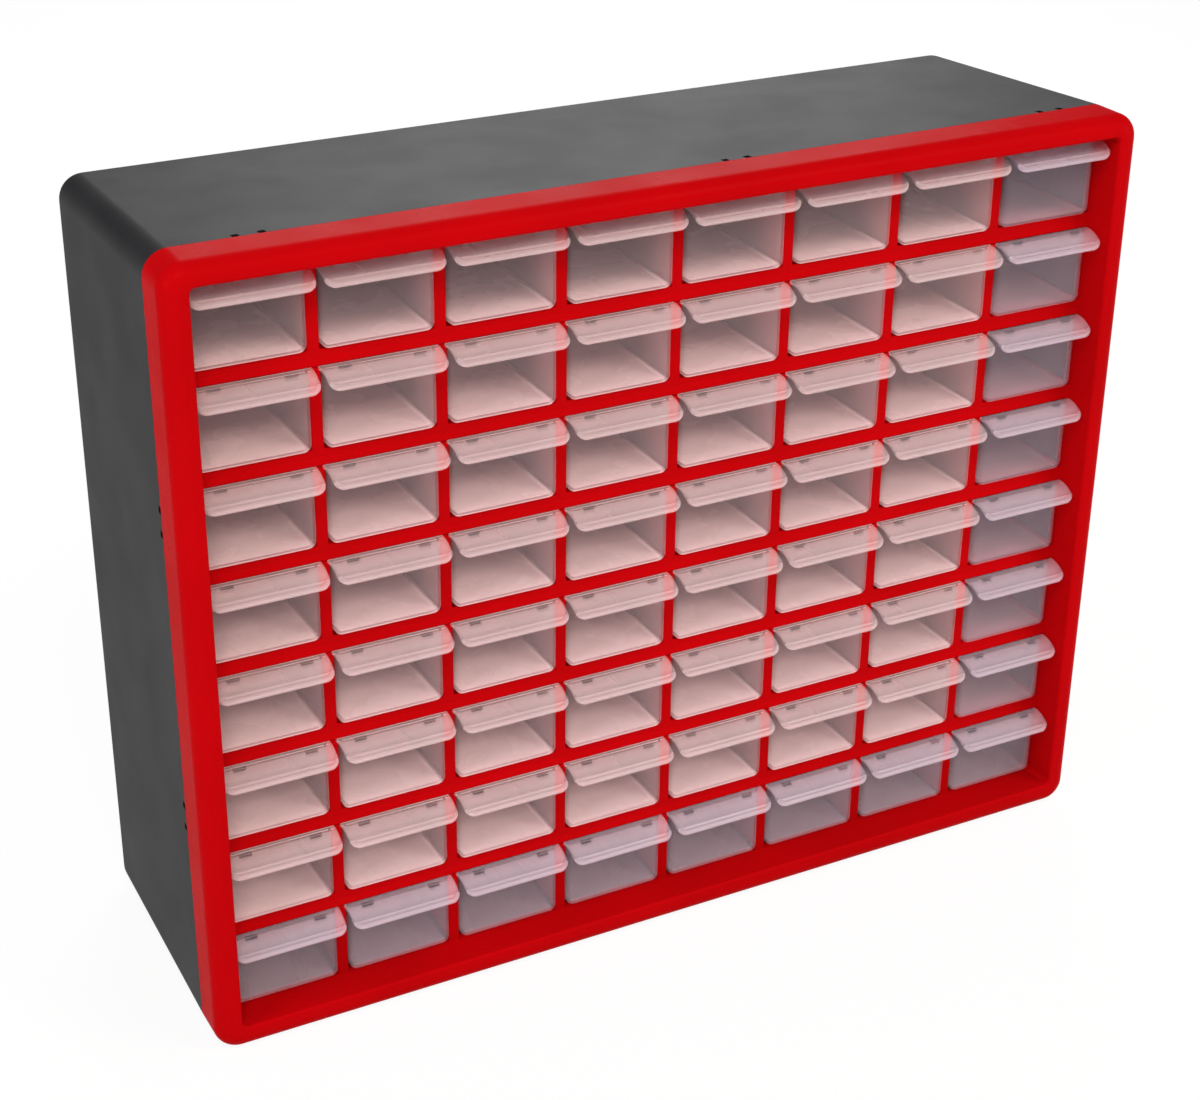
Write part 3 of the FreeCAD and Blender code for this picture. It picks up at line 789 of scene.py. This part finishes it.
class PARTSCABINET_OT_grid(bpy.types.Operator):
    """Model the red lattice with its shelves and dividers"""

    bl_idname = "partscabinet.grid"
    bl_label = "Grid Of Cells"

    def execute(self, context):
        front = context.scene.cabinet_front
        plan = CellPlan(front)
        pieces = [lattice_plate(front, plan)]
        pieces.extend(ledge(front, plan, row) for row in range(1, ROWS + 1))
        pieces.extend(cell_sheets(front, plan))
        lattice = join(pieces, "drawer_lattice")
        smooth(lattice, CREASE_ANGLE)
        hand_over(lattice, bpy.data.materials[RED_PLASTIC], "drawer_grid", "cabinet")
        return {"FINISHED"}


class DrawerPlan:
    """Main sizes of a drawer, taken from the first one's box and the settings."""

    def __init__(self, drawer, front):
        low, high = FIRST_DRAWER
        self.half = (high.x - low.x) / 2 - drawer.overhang
        self.height = high.z - low.z - drawer.tab_rise
        self.front = FRONT + drawer.front_depth
        self.back = high.y
        self.root = FRONT + front.rim_depth - drawer.root_gap


def tray(drawer, plan):
    """Thin-walled tray, open at the top, with rounded edges underneath and at the front."""
    piece = start_box("tray", (-plan.half, plan.front, 0), (plan.half, plan.back, plan.height))
    pick(piece, "FACE", lambda places: all(near(p.z, plan.height) for p in places))
    delete_picked("FACE")
    pick(piece, "EDGE", lambda places: all(near(p.z, 0) for p in places) and near(places[0].x, places[1].x))
    bevel_picked(drawer.corner, MIDDLE_FACETS)
    pick(piece, "EDGE", lambda places: all(near(p.y, plan.front) for p in places)
         and not all(near(p.z, plan.height) for p in places))
    bevel_picked(drawer.edge_round, DRAWER_FRONT_FACETS)
    thicken(piece, drawer.wall)
    inside = plan.front + drawer.wall
    pick(piece, "VERT", lambda places: near(places[0].y, inside))
    bpy.ops.transform.translate(value=(0, drawer.front_wall - drawer.wall, 0))
    bpy.ops.object.mode_set(mode="OBJECT")
    return piece


def pull_sheet(drawer, plan):
    """Middle surface of the pull: level over its root, then curved down to its tip."""
    middle = plan.height - drawer.pull_thickness / 2
    reach = drawer.forward - drawer.bead
    turn = 2 * math.atan2(drawer.drop, drawer.forward)
    radius = reach / math.sin(turn)
    arc = radius * turn
    root_half = plan.half + drawer.overhang - drawer.hem
    tip_half = plan.half + drawer.tip_overhang
    lip = flat_grid("lip", (-1, 1), (0, 1), 0)
    for vertex in lip.data.vertices:
        half, depth = (tip_half, plan.front - arc) if vertex.co.z < 0.5 else (root_half, plan.root)
        vertex.co = (vertex.co.x * half, depth, middle)
    pick(lip, "VERT", lambda places: near(places[0].y, plan.front - arc))
    bevel_picked(drawer.pull_corner, MIDDLE_FACETS, "VERTICES")
    bpy.ops.object.mode_set(mode="EDIT")
    for step in range(PULL_FACETS):
        bpy.ops.mesh.select_all(action="SELECT")
        bpy.ops.mesh.bisect(plane_co=(0, plan.front - arc * step / PULL_FACETS, 0), plane_no=(0, 1, 0))
    bpy.ops.object.mode_set(mode="OBJECT")
    for vertex in lip.data.vertices:
        angle = max(0, (plan.front - vertex.co.y) / radius)
        if angle > 0:
            vertex.co.y = plan.front - radius * math.sin(angle)
            vertex.co.z = middle - radius * (1 - math.cos(angle))
    return lip


def pull_bead(drawer, plan, lip):
    """Round bead that follows the tip and the ends of the lip, thinner along the ends."""
    make_active(lip)
    bpy.ops.object.duplicate()
    bead = bpy.context.object
    bead.name = "bead"
    bpy.ops.object.mode_set(mode="EDIT")
    bpy.ops.mesh.select_mode(type="EDGE")
    bpy.ops.mesh.select_all(action="SELECT")
    bpy.ops.mesh.region_to_loop()
    bpy.ops.mesh.select_all(action="INVERT")
    bpy.ops.mesh.delete(type="EDGE")
    bpy.ops.object.mode_set(mode="OBJECT")
    pick(bead, "EDGE", lambda places: all(near(p.y, plan.root) for p in places))
    delete_picked("EDGE")
    make_active(bead)
    bpy.ops.object.convert(target="CURVE")
    curve = bead.data
    curve.bevel_depth = 1
    curve.bevel_resolution = BEAD_RESOLUTION
    curve.use_fill_caps = True
    tip = min(point.co.y for point in curve.splines[0].points)
    for point in curve.splines[0].points:
        taper = min(1, (point.co.y - tip) / drawer.pull_corner)
        point.radius = drawer.bead + (drawer.hem - drawer.bead) * taper
    for end in (curve.splines[0].points[0], curve.splines[0].points[-1]):
        end.co.y -= drawer.root_gap
    bpy.ops.object.convert(target="MESH")
    pick(bead, "VERT", lambda places: True)
    bpy.ops.mesh.remove_doubles(threshold=MERGE)
    bpy.ops.mesh.normals_make_consistent(inside=False)
    bpy.ops.object.mode_set(mode="OBJECT")
    return bead


def drawer_model(drawer, front):
    """One drawer at the middle of the frame, its underside at height zero."""
    plan = DrawerPlan(drawer, front)
    body = tray(drawer, plan)
    lip = pull_sheet(drawer, plan)
    bead = pull_bead(drawer, plan, lip)
    thicken(lip, drawer.pull_thickness, 0)
    back = plan.front - drawer.window_setback
    for direction in (-1, 1):
        middle = direction * drawer.window_share * 2 * plan.half
        half = drawer.window_width / 2
        window = start_box("window", (middle - half, back - drawer.window_length, plan.height / 2),
                           (middle + half, back, plan.height * 2))
        combine(lip, window, "DIFFERENCE")
    combine(lip, bead, "UNION")
    combine(body, lip, "UNION")
    tab = start_box("tab", (-drawer.tab_width / 2, plan.back - drawer.wall, plan.height - drawer.corner),
                    (drawer.tab_width / 2, plan.back, plan.height + drawer.tab_rise))
    combine(body, tab, "UNION")
    return body


class PARTSCABINET_OT_drawers(bpy.types.Operator):
    """Model one clear drawer and set a copy of it in every cell"""

    bl_idname = "partscabinet.drawers"
    bl_label = "Drawers"

    def execute(self, context):
        drawer = context.scene.cabinet_drawer
        plan = CellPlan(context.scene.cabinet_front)
        model = drawer_model(drawer, context.scene.cabinet_front)
        smooth(model, DRAWER_CREASE_ANGLE)
        # Two copies of one plastic: the bottom row and the last column get a darker, cooler one, which is
        # painted shade.
        scuffed = drawer_plastic(drawer, "natural_polypropylene_scuffed", drawer.colour, drawer.floor_cover)
        shaded_plastic = drawer_plastic(drawer, "natural_polypropylene_clean", drawer.shaded_colour,
                               drawer.shaded_floor_cover)
        for row in range(1, ROWS + 1):
            for column in range(1, COLUMNS + 1):
                piece = model.copy()
                piece.data = model.data.copy()
                piece.name = "clear_drawer_r%d_c%d" % (row, column)
                context.scene.collection.objects.link(piece)
                place = (plan.centre(column), 0, plan.row_floor(row) + drawer.under_gap)
                piece.data.transform(Matrix.Translation(place))
                node = "drawers_row_8" if row == ROWS else "drawer_r%d_c%d" % (row, column)
                plastic = shaded_plastic if row == ROWS or column == COLUMNS else scuffed
                hand_over(piece, plastic, node, node)
        bpy.data.objects.remove(model)
        return {"FINISHED"}


class PARTSCABINET_OT_stage(bpy.types.Operator):
    """Set the camera, the floor and the studio lights"""

    bl_idname = "partscabinet.stage"
    bl_label = "Stage"

    def execute(self, context):
        stage = context.scene.cabinet_stage
        context.scene.view_settings.view_transform = "Standard"
        self.set_camera(context, stage)
        self.add_floor(stage)
        for name, place, side, strength, colour in SOFTBOXES:
            self.add_light(context, name, place, side, getattr(stage, strength), getattr(stage, colour))
        self.set_surround(context, stage)
        return {"FINISHED"}

    def set_camera(self, context, stage):
        """Camera with the photograph's viewing angle."""
        lens = bpy.data.cameras.new("photo_camera")
        lens.sensor_width = SENSOR_WIDTH
        lens.lens = stage.camera_lens
        camera = bpy.data.objects.new("photo_camera", lens)
        context.scene.collection.objects.link(camera)
        camera.location = stage.camera_place
        camera.rotation_euler = stage.camera_turn
        context.scene.camera = camera

    def add_floor(self, stage):
        """Pale paper floor, washed out to white where the camera sees it."""
        deselect_all()
        bpy.ops.mesh.primitive_plane_add(size=stage.floor_size)
        floor = bpy.context.object
        floor.name = "floor"
        # Matt paper scatters light evenly, and its soft shadow is kept under the white.
        material, tree = new_material("matt_white_paper")
        paper = add_node(tree, "ShaderNodeBsdfDiffuse", {"Color": linear(stage.floor_colour)})["BSDF"]
        white = add_node(tree, "ShaderNodeEmission")["Emission"]
        rays = add_node(tree, "ShaderNodeLightPath")
        seen = rays["Is Camera Ray"]
        for name in ("Is Glossy Ray", "Is Transmission Ray"):
            seen = add_node(tree, "ShaderNodeMath", {NUMBER_FIRST: seen, NUMBER_SECOND: rays[name]},
                            operation="MAXIMUM")["Value"]
        glow = add_node(tree, "ShaderNodeMath", {NUMBER_FIRST: seen, NUMBER_SECOND: stage.floor_glow},
                        operation="MULTIPLY")["Value"]
        mix = add_node(tree, "ShaderNodeMixShader", {"Fac": glow, SHADER_FIRST: paper, SHADER_SECOND: white})
        add_node(tree, "ShaderNodeOutputMaterial", {"Surface": mix["Shader"]})
        floor.data.materials.append(material)

    def add_light(self, context, name, place, size, power, colour):
        """Square softbox that faces the middle of the cabinet."""
        lamp = bpy.data.lights.new(name, "AREA")
        lamp.size = size
        lamp.energy = power
        lamp.color = linear(colour)[:3]
        light = bpy.data.objects.new(name, lamp)
        context.scene.collection.objects.link(light)
        light.location = place
        towards = Vector((0, 0, HEIGHT / 2)) - light.location
        light.rotation_euler = towards.to_track_quat("-Z", "Y").to_euler()

    def set_surround(self, context, stage):
        """Even white light all round."""
        world = bpy.data.worlds.new("studio")
        context.scene.world = world
        world.use_nodes = True
        background = world.node_tree.nodes["Background"]
        background.inputs["Color"].default_value = linear(stage.world_colour)
        background.inputs["Strength"].default_value = stage.world_level


class PARTSCABINET_PT_panel(bpy.types.Panel):
    """Buttons for the pieces of the cabinet"""

    bl_idname = "PARTSCABINET_PT_panel"
    bl_label = "Parts Cabinet"
    bl_space_type = "VIEW_3D"
    bl_region_type = "UI"
    bl_category = "Parts Cabinet"

    def draw(self, context):
        for operator in OPERATORS:
            self.layout.operator(operator.bl_idname)


SETTINGS = {
    "cabinet_case": CabinetCaseSettings,
    "cabinet_front": CabinetFrontSettings,
    "cabinet_drawer": CabinetDrawerSettings,
    "cabinet_stage": CabinetStageSettings,
}
OPERATORS = (
    PARTSCABINET_OT_stage,
    PARTSCABINET_OT_case,
    PARTSCABINET_OT_front,
    PARTSCABINET_OT_grid,
    PARTSCABINET_OT_drawers,
)


def register():
    for name, settings in SETTINGS.items():
        bpy.utils.register_class(settings)
        setattr(bpy.types.Scene, name, bpy.props.PointerProperty(type=settings))
    for operator in OPERATORS:
        bpy.utils.register_class(operator)
    bpy.utils.register_class(PARTSCABINET_PT_panel)


def unregister():
    bpy.utils.unregister_class(PARTSCABINET_PT_panel)
    for operator in reversed(OPERATORS):
        bpy.utils.unregister_class(operator)
    for name, settings in SETTINGS.items():
        delattr(bpy.types.Scene, name)
        bpy.utils.unregister_class(settings)


def main():
    register()
    bpy.ops.partscabinet.stage()
    bpy.ops.partscabinet.case()
    bpy.ops.partscabinet.front()
    bpy.ops.partscabinet.grid()
    bpy.ops.partscabinet.drawers()


if __name__ == "__main__":
    main()
